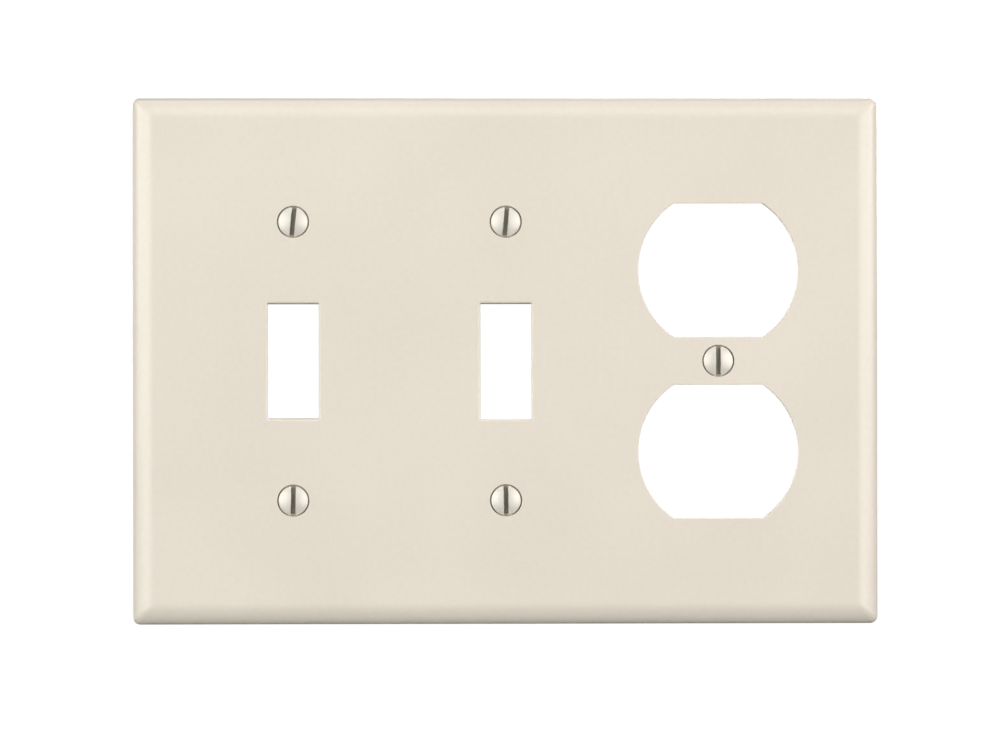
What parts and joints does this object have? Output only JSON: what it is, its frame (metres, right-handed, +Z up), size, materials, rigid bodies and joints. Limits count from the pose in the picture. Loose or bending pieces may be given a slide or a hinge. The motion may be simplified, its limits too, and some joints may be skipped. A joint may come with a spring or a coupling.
{
  "type": "combination wall plate",
  "caption": "Moulded wall plate for a multi-gang wall box, with rectangular toggle openings and a duplex receptacle opening, held by slotted oval-head screws.",
  "frame": {"origin": "middle of the plate's outline, on the wall plane that the back of its rim lies on", "axes": "+X to the right as the room sees the plate, +Z up, +Y into the wall; the face looks along -Y"},
  "size_m": [0.162, 0.0134, 0.1142],
  "materials": {
    "plate_plastic": "light almond moulded urea plastic with a low gloss",
    "screw_metal": "zinc-plated steel with a glossy off-white enamel on the head, bare in the slot and on the thread"
  },
  "bodies": {
    "plate": {"wall_plate": "plate_plastic"},
    "screw_toggle_left_top_body": {"screw_toggle_left_top": "screw_metal"},
    "screw_toggle_left_bottom_body": {"screw_toggle_left_bottom": "screw_metal"},
    "screw_toggle_middle_top_body": {"screw_toggle_middle_top": "screw_metal"},
    "screw_toggle_middle_bottom_body": {"screw_toggle_middle_bottom": "screw_metal"},
    "screw_receptacle_body": {"screw_receptacle": "screw_metal"}
  },
  "joints": [
    {"name": "screw_toggle_left_top_back_out", "type": "slide", "parent": "plate", "child": "screw_toggle_left_top_body", "axis": [0, -1, 0], "range_m": [0, 0.0092]},
    {"name": "screw_toggle_left_bottom_back_out", "type": "slide", "parent": "plate", "child": "screw_toggle_left_bottom_body", "axis": [0, -1, 0], "range_m": [0, 0.0092]},
    {"name": "screw_toggle_middle_top_back_out", "type": "slide", "parent": "plate", "child": "screw_toggle_middle_top_body", "axis": [0, -1, 0], "range_m": [0, 0.0092]},
    {"name": "screw_toggle_middle_bottom_back_out", "type": "slide", "parent": "plate", "child": "screw_toggle_middle_bottom_body", "axis": [0, -1, 0], "range_m": [0, 0.0092]},
    {"name": "screw_receptacle_back_out", "type": "slide", "parent": "plate", "child": "screw_receptacle_body", "axis": [0, -1, 0], "range_m": [0, 0.0092]}
  ]
}
